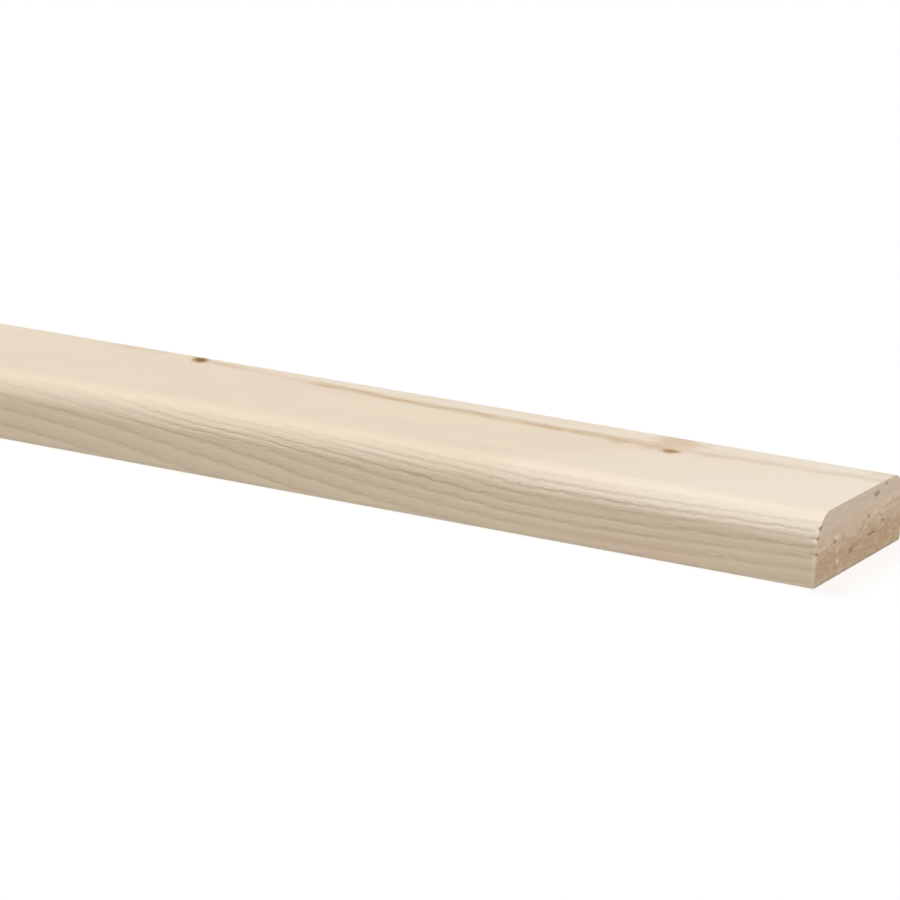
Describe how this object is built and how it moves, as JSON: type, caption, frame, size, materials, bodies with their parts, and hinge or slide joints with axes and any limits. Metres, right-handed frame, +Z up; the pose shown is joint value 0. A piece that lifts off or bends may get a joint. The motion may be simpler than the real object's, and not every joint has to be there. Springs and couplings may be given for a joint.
{
  "type": "flat cover strip",
  "caption": "Flat planed softwood strip with rounded upper long edges, a flat underside and square-sawn ends, fixed over a joint or gap to cover it.",
  "frame": {"origin": "middle of the flat underside", "axes": "+X along the strip, +Y across it, +Z up from the underside to the face with the rounded edges"},
  "size_m": [2.4, 0.038, 0.012],
  "materials": {
    "softwood": "planed, untreated"
  },
  "bodies": {
    "root": {"cover_strip": "softwood"}
  },
  "joints": []
}
